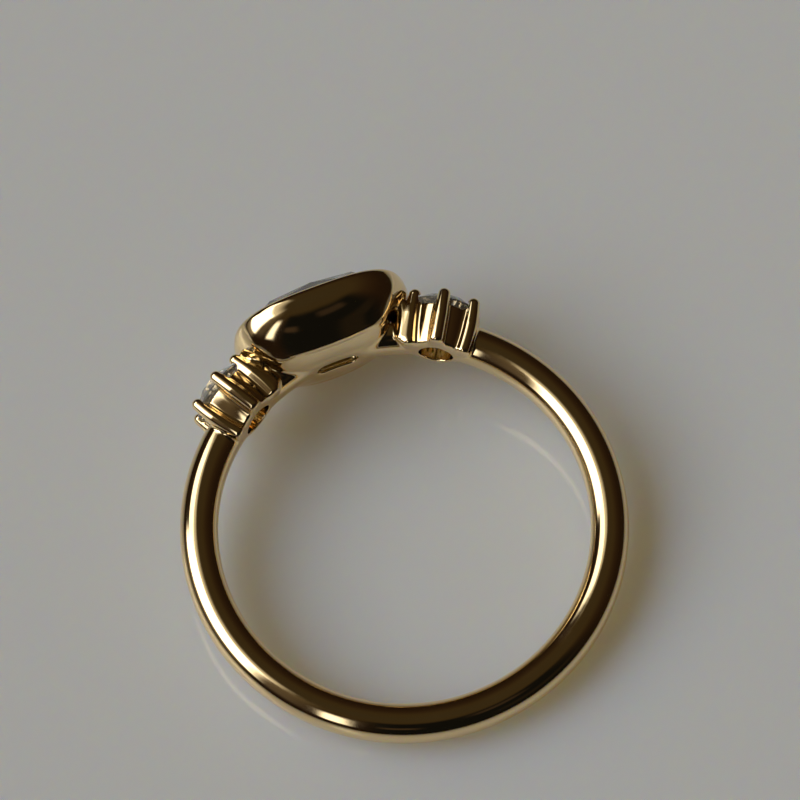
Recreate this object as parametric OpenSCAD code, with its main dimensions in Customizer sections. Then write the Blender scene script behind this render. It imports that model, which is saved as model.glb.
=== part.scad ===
// Three-stone ring: an elongated cushion stone in a smooth bowl bezel, set
// lengthwise along the band, between two round stones in six-prong baskets.
// The ring lies on its side, resting on the bezel wall and on the far end of
// the shank. Millimetres. +Y points from the finger hole to the centre stone
// and +Z is up.

/* [Finger hole and shank] */
// Diameter of the finger hole
finger_d = 17; // [16:0.1:19]
// Thickness of the round shank wire
shank_t = 1.84; // [1.6:0.02:2.1]
// Thickness of the wire between the settings, outward from the finger hole
rail_t = 1.3; // [0.9:0.05:1.5]
// Length of the light slot under the centre stone
slot_l = 2.0; // [1.2:0.1:2.4]
// Width of the light slot under the centre stone
slot_w = 0.8; // [0.5:0.05:0.9]

/* [Centre bezel] */
// Length of the bezel at its rim, along the band
bezel_l = 8.16; // [7.8:0.02:8.3]
// Width of the bezel at its rim, along the finger
bezel_w = 6.86; // [6.6:0.02:7.2]
// Height of the bezel rim above the finger hole
rim_h = 2.86; // [2.7:0.02:3.0]
// Squareness of the cushion-cut stone, where 2 is an oval
squareness = 2.7; // [2.4:0.1:3.2]
// How far the lowest part of the belly lies off centre
belly_shift = 0.15; // [0:0.01:0.3]
// How much the belly swells outwards in the middle of both ends
end_swell = 0.2; // [0:0.01:0.25]
// How far the foot of the belly reaches down to the wire
foot_h = 0.34; // [0.3:0.01:0.5]
// Width of the rim around the stone
rim_w = 0.52; // [0.45:0.01:0.6]

/* [Side settings] */
// Angle between the centre stone and each side stone, around the finger
side_angle = 31; // [30.5:0.1:32]
// Radius of the basket wall
basket_r = 1.5; // [1.45:0.01:1.54]
// Height of the basket wall above the finger hole
basket_h = 2.12; // [2:0.02:2.16]
// Radius of the circle that the prongs stand on
prong_circle_r = 1.7; // [1.68:0.01:1.74]
// Diameter of a prong
prong_d = 0.6; // [0.54:0.01:0.62]
// Diameter of a slim post beside the bezel
post_d = 0.37; // [0.3:0.01:0.4]
// Height of the prong tips above the finger hole
prong_h = 2.7; // [2.66:0.01:2.76]
// Angle of the four outer prongs from the band's middle plane
prong_angle = 35; // [32:1:38]
// Diameter of the round light hole under each side stone
light_hole_d = 1.6; // [1.2:0.1:1.8]

/* [Stones] */
// Diameter of a side stone
side_stone_d = 3.2; // [3.14:0.01:3.24]
// Gap between a stone and the metal around it
stone_gap = 0.03; // [0.02:0.01:0.05]

/* [Hidden] */
$fn = 64;

gold = [0.86, 0.66, 0.34];
clear = [0.86, 0.88, 0.9];

finger_r = finger_d / 2;
wire_r = shank_t / 2;
// the wire is sunk slightly into the finger hole, so that its inside is flat
wire_centre_r = finger_r + wire_r - 0.04;
rim_y = finger_r + rim_h;

// Bulging wall of the bezel, from the base up: how far below the rim, the
// share of the rim's half length and half width at that height, and the
// squareness there. Further down the belly cuts the wall off.
BELOW = 0; LONG = 1; WIDE = 2; SQUARE = 3;
wall = [
    [3.060, 0.800, 0.567, 2.13],
    [2.460, 0.879, 0.702, 2.13],
    [1.960, 0.945, 0.815, 2.25],
    [1.460, 1.011, 0.910, 2.39],
    [1.060, 1.043, 0.959, 2.51],
    [0.667, 1.045, 0.985, 2.63],
    [0.300, 1.021, 0.988, 2.74],
    [0.140, 0.995, 0.974, 2.76],
    [0.075, 0.976, 0.958, 2.76],
    [0.030, 0.953, 0.936, 2.76],
    [0.000, 0.909, 0.888, 2.76]
];
// row of the wall that touches the table when the ring lies on its side
rest_row = 5;

// Belly of the bezel, seen along the finger: the share of the half length,
// and how far below the rim the belly lies there.
ALONG = 0; DOWN = 1;
belly = [
    [0.000, 2.66], [0.221, 2.63], [0.392, 2.52], [0.547, 2.39],
    [0.645, 2.18], [0.716, 1.98], [0.784, 1.64], [0.819, 1.41],
    [0.848, 1.18], [0.868, 1.01], [0.892, 0.71], [0.917, 0.44],
    [0.956, 0.24], [1.066, 0.00]
];
// stations across the belly, along the finger
belly_z = [-3.8, -2.2, -1.9, -1.4, -0.8, 0, 0.8, 1.4, 1.9, 2.2, 3.8];

// Centre stone: girdle just under the rim, high crown, table above the rim.
stone_a = bezel_l / 2 - rim_w;
stone_b = bezel_w / 2 - rim_w;
girdle_y = rim_y - 0.25;
girdle_t = 0.1;
crown_h = 0.82;
pavilion_h = 2.1;
table_share = 0.73;
stone_top_y = girdle_y + girdle_t / 2 + crown_h;
table_half_w = stone_b * table_share;

// Side stones: a round brilliant on the basket wall.
side_r = side_stone_d / 2;
side_girdle_y = finger_r + 2.28;
side_girdle_t = 0.08;
side_crown_h = 0.46;
side_pavilion_h = 1.36;
side_table_share = 0.55;

// The ring rests on the bezel wall and on the far end of the wire:
// reach * sin(rest_tilt) = half width * cos(rest_tilt) - wire radius.
reach = (rim_y - wall[rest_row][BELOW]) + wire_centre_r;
rest_half = wall[rest_row][WIDE] * bezel_w / 2;
rest_tilt = asin(rest_half / norm([reach, rest_half]))
    - asin(wire_r / norm([reach, rest_half]));
lift = wire_centre_r * sin(rest_tilt) + wire_r;
// half the length of the whole ring along Y, measured to the rim and the wire
far_y = -wire_centre_r * cos(rest_tilt) - wire_r;
near_y = stone_top_y * cos(rest_tilt) + table_half_w * sin(rest_tilt);
shift_y = -(far_y + near_y) / 2;

// One point of a cushion outline with half axes a and b at parameter t.
function cushion(a, b, n, t) =
    let (c = cos(t), s = sin(t))
    [a * sign(c) * pow(abs(c), 2 / n), b * sign(s) * pow(abs(s), 2 / n)];

// A closed solid through rows of [height, half length, half width,
// squareness], cushion shaped at every height.
module cushion_loft(rows, steps) {
    pts = [for (r = rows) for (i = [0 : steps - 1])
        let (p = cushion(r[1], r[2], r[3], i * 360 / steps)) [p[0], r[0], p[1]]];
    last = (len(rows) - 1) * steps;
    sides = [for (k = [0 : len(rows) - 2]) for (i = [0 : steps - 1])
        let (a = k * steps + i, b = k * steps + (i + 1) % steps)
        each [[a, b, b + steps], [a, b + steps, a + steps]]];
    polyhedron(pts, concat(
        [[for (i = [0 : steps - 1]) steps - 1 - i]],
        [[for (i = [0 : steps - 1]) last + i]],
        sides), convexity = 4);
}

// A brilliant-cut stone with its axis along Y and its girdle at height 0.
// Crown: table, stars, kites and upper girdle facets; pavilion: kites and
// lower girdle facets down to a point.
module brilliant(a, b, n, table, crown, girdle, pavilion) {
    mid_up = (1 + table) / 2;
    mid_dn = 0.42;
    c = cos(22.5);
    up = girdle / 2 + crown * (1 - mid_up * c) / (1 - table * c * c);
    dn = -girdle / 2 - pavilion * (1 - mid_dn * c);
    ring = function (k, share, turn, count, y)
        [for (i = [0 : count - 1])
            let (p = cushion(a * share, b * share, n, i * 360 / count + turn))
            [p[0], y, p[1]]];
    pts = concat(
        ring(0, table, 0, 8, girdle / 2 + crown),
        ring(0, mid_up, 22.5, 8, up),
        ring(0, 1, 0, 16, girdle / 2),
        ring(0, 1, 0, 16, -girdle / 2),
        ring(0, mid_dn, 22.5, 8, dn),
        [[0, -girdle / 2 - pavilion, 0]]);
    T = 0; M = 8; G = 16; H = 32; P = 48; tip = 56;
    polyhedron(pts, concat(
        [[for (i = [0 : 7]) T + i]],
        [for (i = [0 : 7]) let (j = (i + 1) % 8, m = (i + 7) % 8)
            each [
                [T + i, M + i, T + j],
                [T + i, G + 2 * i, M + i],
                [T + i, M + m, G + 2 * i],
                [M + i, G + 2 * i, G + 2 * i + 1],
                [M + i, G + 2 * i + 1, G + (2 * i + 2) % 16],
                [P + i, H + 2 * i + 1, H + 2 * i],
                [P + i, H + (2 * i + 2) % 16, H + 2 * i + 1],
                [H + 2 * i, tip, P + i],
                [H + 2 * i, P + m, tip]
            ]],
        [for (i = [0 : 15]) let (j = (i + 1) % 16)
            each [[G + i, H + i, H + j], [G + i, H + j, G + j]]]),
        convexity = 2);
}

// The wedge between the middle planes of the two side settings.
module between_settings() {
    translate([0, 0, -5]) linear_extrude(10)
        polygon([[0, 0], [-20 * tan(side_angle), 20], [20 * tan(side_angle), 20]]);
}

// Round wire of the shank. It runs on under the settings, where its outer
// side is cut lower.
module shank_wire() {
    difference() {
        rotate_extrude() translate([wire_centre_r, 0]) circle(r = wire_r);
        intersection() {
            between_settings();
            rotate_extrude() translate([finger_r + rail_t, -2]) square([3, 4]);
        }
    }
}

// 0 below 0, 1 above 1, with a smooth rise between.
function rise(t) = let (c = min(1, max(0, t))) c * c * (3 - 2 * c);

// One point of the belly at station z, on the side +1 or -1.
function belly_point(r, side, z) =
    let (y = rim_y - r[DOWN],
        u = r[ALONG] * bezel_l / 2,
        swell = 1 + end_swell * max(0, 1 - pow(z / 2.2, 2))
            * min(1, max(0, (y - finger_r - 0.8) / 0.9)),
        foot = foot_h * rise(3.4 - u) * max(0, 1 - pow(z / 2, 2)),
        off = belly_shift * min(1, max(0, (rim_y - 0.76 - y) / 1.2)))
    [side * u * swell - off, y - foot, z];

// Everything above the belly of the bezel.
module above_belly() {
    top = rim_y + 1;
    last = len(belly) - 1;
    section = function (z) concat(
        [for (r = belly) belly_point(r, 1, z)],
        [[bezel_l, top, z], [-bezel_l, top, z]],
        [for (i = [last : -1 : 1]) belly_point(belly[i], -1, z)]);
    n = 2 * len(belly) + 1;
    m = (len(belly_z) - 1) * n;
    polyhedron([for (z = belly_z) each section(z)], concat(
        [[for (i = [0 : n - 1]) i]],
        [[for (i = [0 : n - 1]) m + n - 1 - i]],
        [for (k = [0 : len(belly_z) - 2]) for (i = [0 : n - 1])
            let (a = k * n + i, b = k * n + (i + 1) % n)
            each [[a, a + n, b + n], [a, b + n, b]]]), convexity = 4);
}

// Outside of the centre bezel: a bulging cushion-shaped wall that meets the
// rounded belly in a crisp edge. The middle of the belly sits on the wire.
module bezel_body() {
    intersection() {
        cushion_loft([for (r = wall)
            [rim_y - r[BELOW], r[LONG] * bezel_l / 2, r[WIDE] * bezel_w / 2, r[SQUARE]]],
            48);
        above_belly();
    }
}

// Room for the centre stone, and the light slot below it.
module bezel_cut() {
    g = stone_gap;
    n = squareness;
    cushion_loft([
        [girdle_y - girdle_t / 2 - pavilion_h + 0.1, 0.24 * stone_a, 0.2 * stone_b, n],
        [girdle_y - girdle_t / 2 - pavilion_h * 0.45, 0.68 * stone_a, 0.68 * stone_b, n],
        [girdle_y - girdle_t / 2 - g, stone_a + g, stone_b + g, n],
        [girdle_y + girdle_t / 2 + g, stone_a + g, stone_b + g, n],
        [rim_y + 0.2, stone_a - 0.26, stone_b - 0.26, n]
    ], 56);
    for (x = [-1, 1]) translate([x * (slot_l - slot_w) / 2, finger_r - 0.5, 0])
        rotate([-90, 0, 0]) cylinder(h = 1.6, d = slot_w, $fn = 32);
    translate([-(slot_l - slot_w) / 2, finger_r - 0.5, -slot_w / 2])
        cube([slot_l - slot_w, 1.6, slot_w]);
}

// A straight prong along Y with rounded ends.
module prong(r, y0, y1) {
    translate([0, y0, 0]) rotate([-90, 0, 0]) cylinder(h = y1 - y0, r = r, $fn = 32);
    for (y = [y0, y1]) translate([0, y, 0]) sphere(r = r, $fn = 32);
}

// A slanting rod from p to q with rounded ends.
module rod(p, q, r) {
    d = q - p;
    translate(p) rotate([0, acos(d[2] / norm(d)), atan2(d[1], d[0])])
        cylinder(h = norm(d), r = r, $fn = 32);
    for (c = [p, q]) translate(c) sphere(r = r, $fn = 32);
}

// Basket of a side setting, about its own axis along Y. The centre bezel is
// on its -X side.
module basket() {
    pr = prong_d / 2;
    top = finger_r + prong_h - pr;
    // wall, slightly barrel shaped, with a rounded bottom
    rotate([-90, 0, 0]) rotate_extrude() polygon([
        [0, finger_r - 0.05], [0.5, finger_r - 0.05],
        [0.95, finger_r + 0.07], [1.28, finger_r + 0.4],
        [basket_r - 0.08, finger_r + 0.75], [basket_r - 0.02, finger_r + 1.2],
        [basket_r, finger_r + 1.7], [basket_r - 0.01, finger_r + basket_h],
        [0, finger_r + basket_h]]);
    // in front the wall runs straight down to the finger hole
    intersection() {
        translate([0, finger_r - 0.4, 0]) rotate([-90, 0, 0])
            cylinder(h = 1.4, r = basket_r - 0.06);
        translate([-3, 0, 0]) cube([6, 20, 3]);
    }
    // front prongs run down to the finger hole, rear ones stop short of it
    for (a = [prong_angle, 90, 180 - prong_angle]) {
        translate([prong_circle_r * cos(a), 0, prong_circle_r * sin(a)])
            prong(pr, finger_r - 0.3, top);
        translate([prong_circle_r * cos(a), 0, -prong_circle_r * sin(a)])
            prong(pr, finger_r + 0.7, top);
    }
    // slim posts beside the bezel, leaning on the prongs next to them
    for (z = [-1, 1])
        rod([-1.72, finger_r + 0.3, z * 1.08], [-1.97, top - 0.12, z * 1.25],
            post_d / 2);
}

// Seat of a side stone and the round light hole below it.
module basket_cut() {
    g = stone_gap;
    r = side_r + g;
    y = side_girdle_y;
    translate([0, y - side_girdle_t / 2 - g, 0]) rotate([-90, 0, 0])
        cylinder(h = side_girdle_t + 2 * g, r = r);
    translate([0, y + side_girdle_t / 2 + g, 0]) rotate([-90, 0, 0])
        cylinder(h = side_crown_h + 0.3, r1 = r, r2 = r * side_table_share - 0.3);
    translate([0, y - side_girdle_t / 2 - g, 0]) rotate([90, 0, 0])
        cylinder(h = side_pavilion_h + 0.05, r1 = r, r2 = 0.08);
    translate([0, finger_r - 0.6, 0]) rotate([-90, 0, 0])
        cylinder(h = 2, d = light_hole_d);
}

module at_side(s) {
    if (s > 0) rotate([0, 0, -side_angle]) children();
    else mirror([1, 0, 0]) rotate([0, 0, -side_angle]) children();
}

// Lays the upright model on its side.
module at_rest() {
    translate([0, shift_y, lift]) rotate([rest_tilt, 0, 0]) children();
}

module gold_ring() {
    color(gold) at_rest() difference() {
        union() {
            shank_wire();
            bezel_body();
            for (s = [-1, 1]) at_side(s) basket();
        }
        translate([0, 0, -10]) cylinder(h = 20, d = finger_d, $fn = 128);
        bezel_cut();
        for (s = [-1, 1]) at_side(s) basket_cut();
    }
}

module center_stone() {
    color(clear) at_rest() translate([0, girdle_y, 0])
        brilliant(stone_a, stone_b, squareness, table_share, crown_h, girdle_t, pavilion_h);
}

module side_stone() {
    translate([0, side_girdle_y, 0])
        brilliant(side_r, side_r, 2, side_table_share, side_crown_h,
            side_girdle_t, side_pavilion_h);
}

module side_stone_right() {
    color(clear) at_rest() at_side(1) side_stone();
}

module side_stone_left() {
    color(clear) at_rest() at_side(-1) side_stone();
}

gold_ring();
center_stone();
side_stone_right();
side_stone_left();
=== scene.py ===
import math

import bpy
import numpy as np
from mathutils import Matrix, Vector


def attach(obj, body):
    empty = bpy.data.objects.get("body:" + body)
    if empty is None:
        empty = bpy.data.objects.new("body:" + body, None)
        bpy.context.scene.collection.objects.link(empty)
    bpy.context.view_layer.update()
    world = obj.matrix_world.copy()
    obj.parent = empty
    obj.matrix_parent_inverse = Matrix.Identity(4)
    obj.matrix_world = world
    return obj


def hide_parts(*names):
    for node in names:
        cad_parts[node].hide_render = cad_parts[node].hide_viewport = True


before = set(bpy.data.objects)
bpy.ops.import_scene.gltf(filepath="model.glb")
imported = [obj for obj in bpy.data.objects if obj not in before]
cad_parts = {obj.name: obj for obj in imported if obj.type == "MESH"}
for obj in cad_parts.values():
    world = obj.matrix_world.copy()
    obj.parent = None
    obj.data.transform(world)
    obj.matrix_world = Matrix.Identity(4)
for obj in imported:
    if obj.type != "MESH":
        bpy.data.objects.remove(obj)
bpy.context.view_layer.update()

# ---------------------------------------------------------------- the frame
# The ring is modelled upright, in millimetres: x along the band, y from the
# middle of the finger hole to the centre stone, z along the finger. Then it
# lies down on its side, as in the CAD model.
FINGER_R = 8.5
WIRE_R = 0.92
WIRE_C = FINGER_R + WIRE_R - 0.04
RIM_Y = 11.36
WIDE_Y = RIM_Y - 0.24
HALF_L = 4.08
HALF_W = 3.43
SIDE = math.radians(31.0)

_reach = math.hypot(WIDE_Y + WIRE_C, HALF_W)
TILT = math.asin(HALF_W / _reach) - math.asin(WIRE_R / _reach)
LIFT = WIRE_C * math.sin(TILT) + WIRE_R
_stone_top = 11.11 + 0.05 + 0.82
_table_w = (HALF_W - 0.52) * 0.73
SHIFT = -((-WIRE_C * math.cos(TILT) - WIRE_R)
          + (_stone_top * math.cos(TILT) + _table_w * math.sin(TILT))) / 2


def lay(p):
    """Upright millimetres to metres in the shared frame."""
    p = np.asarray(p, float)
    c, s = math.cos(TILT), math.sin(TILT)
    return np.stack([p[..., 0],
                     p[..., 1] * c - p[..., 2] * s + SHIFT,
                     p[..., 1] * s + p[..., 2] * c + LIFT], -1) * 1e-3


def turn(v):
    """An upright direction in the shared frame."""
    c, s = math.cos(TILT), math.sin(TILT)
    return Vector((v[0], v[1] * c - v[2] * s, v[1] * s + v[2] * c))


# ------------------------------------------------- distance fields, upright
def smin(a, b, k):
    h = np.maximum(k - np.abs(a - b), 0) / k
    return np.minimum(a, b) - h * h * k * 0.25


def smax(a, b, k):
    h = np.maximum(k - np.abs(a - b), 0) / k
    return np.maximum(a, b) + h * h * k * 0.25


def smooth_table(xs, ys, sigma, lo, hi, n=1200):
    """A table of points as one smooth curve: (grid, values)."""
    g = np.linspace(lo, hi, n)
    v = np.interp(g, xs, ys)
    slope0 = (ys[1] - ys[0]) / (xs[1] - xs[0])
    slope1 = (ys[-1] - ys[-2]) / (xs[-1] - xs[-2])
    v = np.where(g < xs[0], ys[0] + (g - xs[0]) * slope0, v)
    v = np.where(g > xs[-1], ys[-1] + (g - xs[-1]) * slope1, v)
    step = g[1] - g[0]
    m = int(4 * sigma / step)
    w = np.exp(-0.5 * (np.arange(-m, m + 1) * step / sigma) ** 2)
    w /= w.sum()
    ext = np.concatenate([v[0] + (v[1] - v[0]) * np.arange(-m, 0), v,
                          v[-1] + (v[-1] - v[-2]) * np.arange(1, m + 1)])
    return g, np.convolve(ext, w, "valid")


# Belly of the bezel seen along the finger: (half length, height)
BELLY = [(-0.90, 8.72), (0.0, 8.69), (0.90, 8.72), (1.60, 8.80), (2.23, 8.91),
         (2.63, 9.09), (2.94, 9.30), (3.22, 9.62), (3.38, 9.87), (3.50, 10.12),
         (3.58, 10.32), (3.68, 10.65), (3.78, 10.92), (3.94, 11.12), (4.35, 11.36)]
BELLY_G, BELLY_V = smooth_table([b[0] for b in BELLY], [b[1] for b in BELLY],
                                0.10, -0.6, 5.2)
BELLY_S = np.gradient(BELLY_V, BELLY_G)


def cushion(x, z, a, b, da, db, n):
    """Signed distance, near the surface, to a cushion outline whose half
    sizes a and b change with height at the rates da and db."""
    X = np.abs(x) / a
    Z = np.abs(z) / b
    xn1 = X ** (n - 1)
    zn1 = Z ** (n - 1)
    s = np.maximum(X * xn1 + Z * zn1, 1e-3)
    q = s ** (1 / n)
    g = q / s
    gx = g * xn1 / a
    gz = g * zn1 / b
    gw = g * (X * xn1 * da / a + Z * zn1 * db / b)
    return (q - 1) / np.sqrt(gx * gx + gz * gz + gw * gw + 1e-9)


def wall(x, y, z):
    """The bulging outside of the bezel, without its rim and belly."""
    dw = np.clip(WIDE_Y - y, -0.4, 2.6)
    da = np.minimum(dw, 1.3)
    db = np.minimum(dw, 1.7)
    a = HALF_L + 0.06 + 0.45 * da - 0.38 * da * da - 0.538 * (dw - da)
    b = HALF_W - 0.046 + 0.096 * db - 0.255 * db * db - 0.771 * (dw - db)
    n = 2.756 - 0.297 * np.minimum(dw, 2.1)
    return cushion(x, z, a, b, -(0.45 - 0.76 * da), -(0.096 - 0.510 * db), n)


def bezel(x, y, z):
    w = smax(wall(x, y, z), y - RIM_Y, 0.30)
    # the belly, a little off centre at its lowest part
    off = -0.15 * np.clip((10.6 - y) / 1.2, 0, 1)
    # it swells outwards in the middle of both ends
    mid = np.clip(1 - (z / 2.2) ** 2, 0, 1)
    u = np.abs(x - off) / (1 + 0.2 * mid * np.clip((y - 9.3) / 0.9, 0, 1))
    yb = np.interp(u, BELLY_G, BELLY_V)
    sb = np.interp(u, BELLY_G, BELLY_S)
    # foot: the belly bulges down to the rail in the middle
    side = np.clip((3.40 - u) / 1.0, 0, 1)
    side = side * side * (3 - 2 * side)
    zz = np.clip(1 - (z / 2.0) ** 2, 0, 1)
    yb = yb - 0.34 * side * zz
    belly = (yb - y) / np.sqrt(1 + sb * sb)
    k = 0.11 + 0.15 * np.clip((y - 10.3) / 0.8, 0, 1)
    return np.maximum(smax(w, belly, k), 8.2 - y)


def side_head(x, y, z):
    """Cup, prongs, posts and solder of a side setting, and the cut inside
    it. x is away from the bezel, y along the setting, z along the finger."""
    ax, az = np.abs(x), np.abs(z)
    front = z > 0
    low = np.clip((0.6 - z) / 1.0, 0, 1)
    r = np.sqrt(x * x + z * z)
    barrel = 0.06 * (np.clip(y, 8.4, 11.2) - 10.2) ** 2
    cup = smax(smax(r - 1.53 + barrel, y - (FINGER_R + 2.00), 0.05), FINGER_R - 0.05 - y, 0.22 + 0.68 * low)
    c, s = math.cos(math.radians(35)), math.sin(math.radians(35))
    top = FINGER_R + 2.70 - 0.29

    def prong(cx, cz, foot):
        t = np.clip(y, foot, top)
        rc = 1.71 - 0.06 * (t - 10.2) ** 2
        rp = 0.290 + 0.055 * np.clip((top - t) / 1.0, 0, 1)
        return np.sqrt((ax - rc * cx) ** 2 + (y - t) ** 2 + (az - rc * cz) ** 2) - rp

    # in front they run down to the finger hole, behind they stop short
    prongs = prong(c, s, np.where(front, 8.00, 9.15))
    prongs = np.minimum(prongs, prong(0.0, 1.0, np.where(front, 8.00, 9.25)))
    body = smin(cup, prongs, 0.24)
    # slim posts beside the bezel, soldered to the prongs next to them
    px, py, pz = x + 1.72, y - 8.80, az - 0.95
    t = np.clip((px * -0.25 + py * 2.00 + pz * 0.12) / 4.0769, 0, 1)
    post = np.sqrt((px + 0.25 * t) ** 2 + (py - 2.00 * t) ** 2 + (pz - 0.12 * t) ** 2) - 0.185
    body = smin(body, post, 0.12 + 0.24 * np.clip((10.60 - y) / 0.3, 0, 1))
    # seat, light hole
    g = 0.03
    rs = 1.6 + g
    yg = FINGER_R + 2.28
    up = y - (yg + 0.04 + g)
    dn = (yg - 0.04 - g) - y
    cone_up = (r - (rs - up * (rs - (rs * 0.55 - 0.3)) / 0.76)) * 0.72
    cone_dn = (r - (rs - dn * (rs - 0.08) / 1.41)) * 0.67
    seat = np.maximum(np.maximum(cone_up, cone_dn), r - rs)
    hole = np.maximum(r - 0.8, y - 10.2)
    return body, np.minimum(seat, hole)


def gold(p):
    """Signed distance in millimetres to the gold, at the points p."""
    x, y, z = p[..., 0], p[..., 1], p[..., 2]
    rho = np.sqrt(x * x + y * y)
    ax = np.abs(x)
    cs, sn = math.cos(SIDE), math.sin(SIDE)
    du = ax * cs - y * sn
    wv = ax * sn + y * cs
    # one round wire all the way round, lower between the settings
    wire = np.sqrt((rho - WIRE_C) ** 2 + z * z) - WIRE_R
    inner = np.clip((y - FINGER_R * math.cos(math.radians(27))) / 0.7, 0, 1)
    wire = smax(wire, rho - (FINGER_R + 1.9 - 0.6 * inner), 0.3)
    head, cut = side_head(du, wv, z)
    body = smin(wire, head, 0.20)
    body = smin(body, bezel(x, y, z), 0.16)
    # seat of the centre stone and the slot below it
    g = 0.03
    sa, sb_ = HALF_L - 0.52, HALF_W - 0.52
    h = [RIM_Y - 2.40, RIM_Y - 1.245, RIM_Y - 0.33, RIM_Y - 0.17, RIM_Y + 0.2]
    la = [0.24 * sa, 0.68 * sa, sa + g, sa + g, sa - 0.26]
    lb = [0.20 * sb_, 0.68 * sb_, sb_ + g, sb_ + g, sb_ - 0.26]
    a = np.interp(y, h, la)
    b = np.interp(y, h, lb)
    seat = cushion(x, z, a, b, 0.9, 0.8, 2.7)
    seat = np.maximum(seat, (RIM_Y - 2.35) - y)
    slot = np.sqrt(np.maximum(ax - 0.6, 0) ** 2 + z * z) - 0.4
    slot = np.maximum(np.maximum(slot, y - (FINGER_R + 1.1)), 7.0 - y)
    body = smax(body, -seat, 0.05)
    body = smax(body, -slot, 0.07)
    body = smax(body, -cut, 0.09)
    return smax(body, FINGER_R - rho, 0.10 + 0.12 * np.clip((z - 0.7) / 0.3, 0, 1))


# ------------------------------------------------------- mesh from the field
def ring_mesh(step):
    """Surface nets on a grid in (angle, radius, z) that is fine around the
    head and coarser along the plain shank. Returns vertices and quads."""
    fine = step / 11.0
    half = math.radians(49)
    head = np.arange(-half, half, fine)
    width, a, rest = fine, half, []
    while a < math.pi:                      # grow to a coarse spacing
        width = min(width * 1.12, math.radians(1.6))
        rest.append(a)
        a += width
    rest = np.array(rest)
    rest = half + (rest - half) * (math.pi - half) / (rest[-1] + width * 0.5 - half)
    ang = np.concatenate([-rest[::-1], head[1:], rest])
    rad = np.arange(FINGER_R - 2.5 * step, 12.25, step)
    zed = np.arange(-3.62 - step, 3.62 + step, step)
    na, nr, nz = len(ang), len(rad), len(zed)
    F = np.empty((na, nr, nz), np.float32)
    chunk = 40
    for i in range(0, na, chunk):
        A, R, Z = np.meshgrid(ang[i:i + chunk], rad, zed, indexing="ij")
        far = np.abs(ang[i:i + chunk]).min() > math.radians(50)
        P = np.stack([R * np.sin(A), R * np.cos(A), Z], -1)
        if far:                              # only the tube is here
            m = (np.abs(Z) < 1.9) & (R < 10.8)
            f = np.full(A.shape, 1.0, np.float32)
            f[m] = gold(P[m])
            F[i:i + chunk] = f
        else:
            F[i:i + chunk] = gold(P)
    F = np.concatenate([F, F[:1]], 0)        # wrap
    ang2 = np.concatenate([ang, [ang[0] + 2 * math.pi]])
    S = F < 0
    c = [S[i:i + na, j:j + nr - 1, k:k + nz - 1]
         for i in (0, 1) for j in (0, 1) for k in (0, 1)]
    count = sum(v.astype(np.uint8) for v in c)
    active = (count > 0) & (count < 8)
    idx = np.full(active.shape, -1, np.int32)
    ci, cj, ck = np.nonzero(active)
    idx[ci, cj, ck] = np.arange(len(ci), dtype=np.int32)
    corner = {(i, j, k): F[ci + i, cj + j, ck + k]
              for i in (0, 1) for j in (0, 1) for k in (0, 1)}
    acc = np.zeros((len(ci), 3))
    num = np.zeros(len(ci))
    for d in range(3):
        for o1 in (0, 1):
            for o2 in (0, 1):
                o = [0, 0, 0]
                others = [m for m in range(3) if m != d]
                o[others[0]], o[others[1]] = o1, o2
                e = list(o)
                e[d] = 1
                f0, f1 = corner[tuple(o)], corner[tuple(e)]
                m = (f0 < 0) != (f1 < 0)
                t = np.where(m, f0 / np.where(m, f0 - f1, 1), 0)
                pos = np.tile(np.array(o, float), (len(ci), 1))
                pos[:, d] = t
                acc += pos * m[:, None]
                num += m
    acc /= num[:, None]
    av = ang2[ci] + acc[:, 0] * (ang2[ci + 1] - ang2[ci])
    rv = rad[cj] + acc[:, 1] * step
    zv = zed[ck] + acc[:, 2] * step
    V = np.stack([rv * np.sin(av), rv * np.cos(av), zv], 1)
    quads = []
    # edges along the angle
    a0, a1 = S[:na, 1:-1, 1:-1], S[1:na + 1, 1:-1, 1:-1]
    i, j, k = np.nonzero(a0 != a1)
    j, k = j + 1, k + 1
    q = np.stack([idx[i, j - 1, k - 1], idx[i, j, k - 1], idx[i, j, k], idx[i, j - 1, k]], 1)
    flip = ~S[i, j, k]
    q[flip] = q[flip][:, ::-1]
    quads.append(q)
    # edges along the radius
    a0, a1 = S[:na, :-1, 1:-1], S[:na, 1:, 1:-1]
    i, j, k = np.nonzero(a0 != a1)
    k = k + 1
    im = (i - 1) % na
    q = np.stack([idx[im, j, k - 1], idx[im, j, k], idx[i, j, k], idx[i, j, k - 1]], 1)
    flip = ~S[i, j, k]
    q[flip] = q[flip][:, ::-1]
    quads.append(q)
    # edges along z
    a0, a1 = S[:na, 1:-1, :-1], S[:na, 1:-1, 1:]
    i, j, k = np.nonzero(a0 != a1)
    j = j + 1
    im = (i - 1) % na
    q = np.stack([idx[im, j - 1, k], idx[i, j - 1, k], idx[i, j, k], idx[im, j, k]], 1)
    flip = ~S[i, j, k]
    q[flip] = q[flip][:, ::-1]
    quads.append(q)
    return V, np.concatenate(quads)


def gradient(p, e=2e-3):
    g = np.empty_like(p)
    for d in range(3):
        o = np.zeros(3)
        o[d] = e
        g[:, d] = gold(p + o) - gold(p - o)
    return g / (2 * e)


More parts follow.
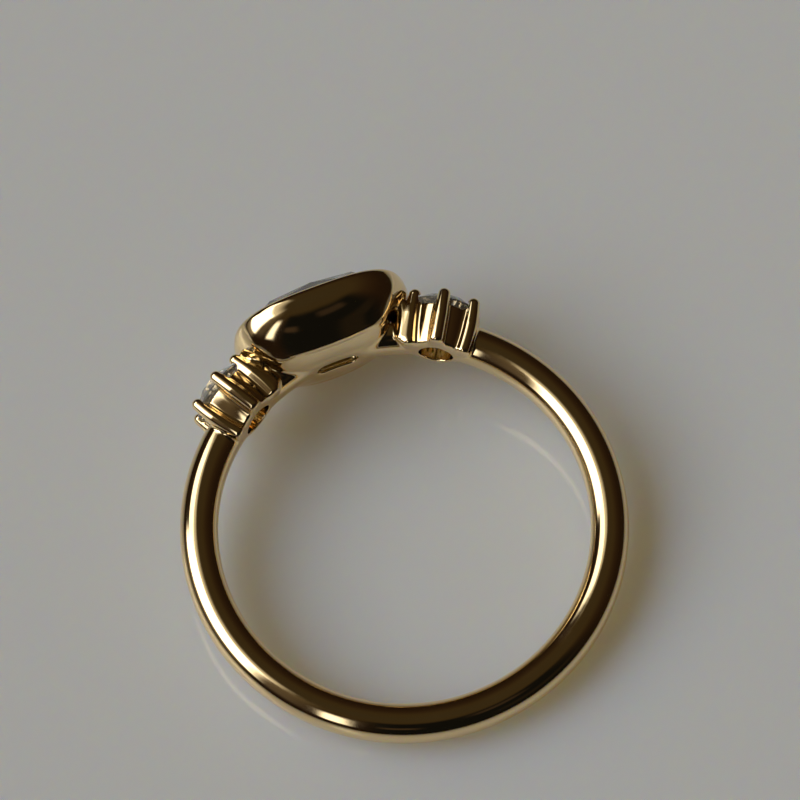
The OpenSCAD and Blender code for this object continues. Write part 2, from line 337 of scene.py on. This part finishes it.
def settle(V, Q, rounds):
    """Evens out the mesh along the surface and puts every point on it."""
    for n in range(rounds + 1):
        for _ in range(2):
            f = gold(V)
            g = gradient(V)
            V = V - np.clip(f / np.maximum((g * g).sum(1), 0.05), -0.05, 0.05)[:, None] * g
        if n == rounds:
            break
        acc = np.zeros_like(V)
        num = np.zeros(len(V))
        for a, b in ((0, 1), (1, 2), (2, 3), (3, 0)):
            for s, t in ((a, b), (b, a)):
                for d in range(3):
                    acc[:, d] += np.bincount(Q[:, s], V[Q[:, t], d], len(V))
                num += np.bincount(Q[:, s], minlength=len(V))
        move = acc / np.maximum(num, 1)[:, None] - V
        g = gradient(V)
        g /= np.linalg.norm(g, axis=1)[:, None] + 1e-9
        move -= (move * g).sum(1)[:, None] * g
        V = V + 0.5 * move
    g = gradient(V, 4e-3)
    g /= np.linalg.norm(g, axis=1)[:, None] + 1e-9
    return V, g


def build_gold():
    step = 0.072
    V, Q = ring_mesh(step)
    V, N = settle(V, Q, 2)
    P = lay(V)
    mesh = bpy.data.meshes.new("gold_ring_polished")
    mesh.from_pydata(P.tolist(), [], Q.tolist())
    mesh.validate()
    mesh.polygons.foreach_set("use_smooth", np.ones(len(mesh.polygons), bool))
    c, s = math.cos(TILT), math.sin(TILT)
    W = np.stack([N[:, 0], N[:, 1] * c - N[:, 2] * s, N[:, 1] * s + N[:, 2] * c], 1)
    mesh.normals_split_custom_set_from_vertices(W.tolist())
    mesh.update()
    print("gold mesh", len(V), "points", len(mesh.polygons), "quads")
    return mesh


# --------------------------------------------------------------- materials
def new_material(name):
    m = bpy.data.materials.new(name)
    m.use_nodes = True
    nt = m.node_tree
    for n in list(nt.nodes):
        nt.nodes.remove(n)
    out = nt.nodes.new("ShaderNodeOutputMaterial")
    return m, nt, out


def gold_material():
    m, nt, out = new_material("polished_gold")
    b = nt.nodes.new("ShaderNodeBsdfPrincipled")
    nt.links.new(b.outputs["BSDF"], out.inputs["Surface"])
    b.inputs["Metallic"].default_value = 1.0
    co = nt.nodes.new("ShaderNodeTexCoord")
    # slight differences of tone in the alloy
    tone = nt.nodes.new("ShaderNodeTexNoise")
    tone.inputs["Scale"].default_value = 420.0
    tone.inputs["Detail"].default_value = 3.0
    nt.links.new(co.outputs["Object"], tone.inputs["Vector"])
    ramp = nt.nodes.new("ShaderNodeValToRGB")
    ramp.color_ramp.elements[0].position = 0.30
    ramp.color_ramp.elements[0].color = (0.860, 0.665, 0.375, 1)
    ramp.color_ramp.elements[1].position = 0.70
    ramp.color_ramp.elements[1].color = (0.905, 0.715, 0.420, 1)
    nt.links.new(tone.outputs["Fac"], ramp.inputs["Fac"])
    nt.links.new(ramp.outputs["Color"], b.inputs["Base Color"])
    # polish: soft smears in the gloss, and fine hairlines
    smear = nt.nodes.new("ShaderNodeTexNoise")
    smear.inputs["Scale"].default_value = 900.0
    smear.inputs["Detail"].default_value = 4.0
    nt.links.new(co.outputs["Object"], smear.inputs["Vector"])
    rough = nt.nodes.new("ShaderNodeMapRange")
    rough.inputs["From Min"].default_value = 0.3
    rough.inputs["From Max"].default_value = 0.75
    rough.inputs["To Min"].default_value = 0.045
    rough.inputs["To Max"].default_value = 0.12
    nt.links.new(smear.outputs["Fac"], rough.inputs["Value"])
    nt.links.new(rough.outputs["Result"], b.inputs["Roughness"])
    fine = nt.nodes.new("ShaderNodeTexNoise")
    fine.inputs["Scale"].default_value = 1500.0
    fine.inputs["Detail"].default_value = 2.0
    nt.links.new(co.outputs["Object"], fine.inputs["Vector"])
    bump = nt.nodes.new("ShaderNodeBump")
    bump.inputs["Strength"].default_value = 0.05
    bump.inputs["Distance"].default_value = 0.00004
    nt.links.new(fine.outputs["Fac"], bump.inputs["Height"])
    nt.links.new(bump.outputs["Normal"], b.inputs["Normal"])
    return m


def stone_material(name, tint):
    m, nt, out = new_material(name)
    b = nt.nodes.new("ShaderNodeBsdfPrincipled")
    nt.links.new(b.outputs["BSDF"], out.inputs["Surface"])
    b.inputs["Transmission Weight"].default_value = 0.88
    b.inputs["IOR"].default_value = 1.7
    b.inputs["Base Color"].default_value = (*tint, 1)
    co = nt.nodes.new("ShaderNodeTexCoord")
    n = nt.nodes.new("ShaderNodeTexNoise")
    n.inputs["Scale"].default_value = 1200.0
    n.inputs["Detail"].default_value = 2.0
    nt.links.new(co.outputs["Object"], n.inputs["Vector"])
    r = nt.nodes.new("ShaderNodeMapRange")
    r.inputs["To Min"].default_value = 0.0
    r.inputs["To Max"].default_value = 0.04
    nt.links.new(n.outputs["Fac"], r.inputs["Value"])
    nt.links.new(r.outputs["Result"], b.inputs["Roughness"])
    return m


def floor_material():
    m, nt, out = new_material("pale_floor")
    b = nt.nodes.new("ShaderNodeBsdfPrincipled")
    nt.links.new(b.outputs["BSDF"], out.inputs["Surface"])
    b.inputs["Base Color"].default_value = (0.70, 0.73, 0.755, 1)
    b.inputs["Roughness"].default_value = 0.10
    b.inputs["IOR"].default_value = 1.45
    b.inputs["Subsurface Weight"].default_value = 1.0
    b.inputs["Subsurface Radius"].default_value = (1.7, 1.15, 0.5)
    b.inputs["Subsurface Scale"].default_value = 0.006
    # painted light: the floor glows faintly and warmly by itself, which lightens and warms the shadows on
    # it; the base colour is a little bluer so the open floor stays grey under this glow
    b.inputs["Emission Color"].default_value = (1.0, 0.84, 0.60, 1)
    b.inputs["Emission Strength"].default_value = 0.035
    return m


# ---------------------------------------------------------------- the pieces
gold_mat = gold_material()
ring = bpy.data.objects.new("gold_ring_polished", build_gold())
bpy.context.scene.collection.objects.link(ring)
ring.data.materials.append(gold_mat)
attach(ring, "root")
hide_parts("gold_ring")

centre_mat = stone_material("centre_stone_clear", (0.90, 0.91, 0.91))
side_mat = stone_material("side_stone_clear", (0.90, 0.91, 0.90))
for node, mat in (("center_stone", centre_mat), ("side_stone_right", side_mat),
                  ("side_stone_left", side_mat)):
    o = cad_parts[node]
    if len(o.material_slots) == 0:
        o.data.materials.append(mat)
    for sl in o.material_slots:
        sl.material = mat

floor_mesh = bpy.data.meshes.new("floor")
F = 3.0
floor_mesh.from_pydata([(-F, -F, 0), (F, -F, 0), (F, F, 0), (-F, F, 0)], [], [(0, 1, 2, 3)])
floor = bpy.data.objects.new("floor", floor_mesh)
bpy.context.scene.collection.objects.link(floor)
floor_mesh.materials.append(floor_material())

# ---------------------------------------------------------------- the camera
# Camera axes in the upright frame, and the ring's centre as the camera sees it
CX = np.array([0.93246, -0.36110, -0.01077])
CY = np.array([0.34195, 0.87261, 0.34875])
CZ = np.array([-0.11653, -0.32888, 0.93715])
CENTRE = np.array([0.199, -5.780, -220.0])
FOCAL_PX = 4813.8
pos = -(CX * CENTRE[0] + CY * CENTRE[1] + CZ * CENTRE[2])
cam_data = bpy.data.cameras.new("camera")
cam = bpy.data.objects.new("camera", cam_data)
bpy.context.scene.collection.objects.link(cam)
cam_data.sensor_width = 36.0
cam_data.sensor_fit = "HORIZONTAL"
cam_data.lens = FOCAL_PX / 800.0 * 36.0
cam_data.clip_start = 0.01
cam_data.clip_end = 50.0
cam_data.dof.use_dof = False
R = Matrix((turn(CX), turn(CY), turn(CZ))).transposed().to_4x4()
cam.matrix_world = Matrix.Translation(Vector(lay(pos))) @ R
bpy.context.scene.camera = cam


# ---------------------------------------------------------------- the light
def room(world):
    """A dim warm room with a tall soft window to the left, a narrow one beside
    it and a pale strip above, laid out by azimuth and height in degrees."""
    world.use_nodes = True
    nt = world.node_tree
    for n in list(nt.nodes):
        nt.nodes.remove(n)

    def put(socket, v):
        if isinstance(v, (int, float)):
            socket.default_value = v
        else:
            nt.links.new(v, socket)

    def calc(op, *args):
        n = nt.nodes.new("ShaderNodeMath")
        n.operation = op
        for i, v in enumerate(args):
            put(n.inputs[i], v)
        return n.outputs[0]

    def fade(v, lo, hi, down=False):
        n = nt.nodes.new("ShaderNodeMapRange")
        n.interpolation_type = "SMOOTHSTEP"
        put(n.inputs["Value"], v)
        n.inputs["From Min"].default_value = lo
        n.inputs["From Max"].default_value = hi
        n.inputs["To Min"].default_value = 1.0 if down else 0.0
        n.inputs["To Max"].default_value = 0.0 if down else 1.0
        return n.outputs["Result"]

    def patch(a, b, c, d, e, f, g, h):
        """1 inside: azimuth rises a to b, falls c to d, height rises e to f,
        falls g to h."""
        m = calc("MULTIPLY", fade(az, a, b), fade(az, c, d, True))
        m = calc("MULTIPLY", m, fade(el, e, f))
        return calc("MULTIPLY", m, fade(el, g, h, True))

    def tinted(color, k):
        n = nt.nodes.new("ShaderNodeVectorMath")
        n.operation = "SCALE"
        n.inputs[0].default_value = color
        put(n.inputs["Scale"], k)
        return n.outputs[0]

    def plus(u, v):
        n = nt.nodes.new("ShaderNodeVectorMath")
        n.operation = "ADD"
        nt.links.new(u, n.inputs[0])
        nt.links.new(v, n.inputs[1])
        return n.outputs[0]

    co = nt.nodes.new("ShaderNodeTexCoord")
    sep = nt.nodes.new("ShaderNodeSeparateXYZ")
    nt.links.new(co.outputs["Generated"], sep.inputs[0])
    az = calc("WRAP", calc("DEGREES", calc("ARCTAN2", sep.outputs["Y"], sep.outputs["X"])),
              360.0, 0.0)
    el = calc("DEGREES", calc("ARCSINE", sep.outputs["Z"]))

    # the walls, lighter towards the ceiling
    ramp = nt.nodes.new("ShaderNodeValToRGB")
    stops = [(0.00, (0.014, 0.0080, 0.0045)), (0.28, (0.017, 0.0093, 0.0052)),
             (0.50, (0.026, 0.0150, 0.0075)), (0.72, (0.041, 0.0280, 0.0120)),
             (1.00, (0.040, 0.0300, 0.0150))]
    cr = ramp.color_ramp
    for i, (t, c) in enumerate(stops):
        e = cr.elements[i] if i < 2 else cr.elements.new(t)
        e.position = t
        e.color = (*c, 1)
    put(ramp.inputs["Fac"], calc("DIVIDE", el, 90.0))
    # a darker, greyer side in front
    dim = nt.nodes.new("ShaderNodeMix")
    dim.data_type = "RGBA"
    put(dim.inputs["Factor"], patch(232, 244, 305, 330, -1, 6, 56, 70))
    nt.links.new(ramp.outputs["Color"], dim.inputs["A"])
    dim.inputs["B"].default_value = (0.0056, 0.0056, 0.0052, 1)
    light = dim.outputs["Result"]

    W = (1.0, 0.975, 0.93)
    for color, k, zone in [
            (W, WINDOW, (140, 147, 186, 199, 16, 21, 58, 63)),
            (W, WINDOW * 0.62, (108, 118, 140, 147, 33, 38, 57, 62)),
            ((1.0, 0.95, 0.82), 0.72, (100, 116, 192, 206, 55, 61, 64, 79)),
            (W, WINDOW * 0.55, (218, 223, 227, 233, 14, 21, 44, 58)),
            ((1.0, 0.88, 0.70), 0.20, (140, 152, 182, 196, 0, 16, 17, 20)),
            ((1.0, 0.82, 0.58), 0.065, (188, 196, 205, 222, 10, 30, 62, 76)),
            ((1.0, 0.62, 0.36), 0.026, (273, 280, 291, 300, 43, 49, 53, 60)),
            ((1.0, 0.62, 0.36), 0.040, (239, 245, 251, 258, 28, 33, 36, 42)),
            ((1.0, 0.60, 0.26), 0.008, (277, 288, 306, 322, 14, 19, 25, 32))]:
        light = plus(light, tinted(color, calc("MULTIPLY", patch(*zone), k)))

    bg = nt.nodes.new("ShaderNodeBackground")
    nt.links.new(light, bg.inputs["Color"])
    out = nt.nodes.new("ShaderNodeOutputWorld")
    nt.links.new(bg.outputs[0], out.inputs["Surface"])


WINDOW = 3.6
world = bpy.data.worlds.new("room")
bpy.context.scene.world = world
room(world)

sc = bpy.context.scene
sc.view_settings.view_transform = "Standard"
sc.view_settings.look = "None"
sc.view_settings.exposure = 0.0
sc.view_settings.gamma = 1.0
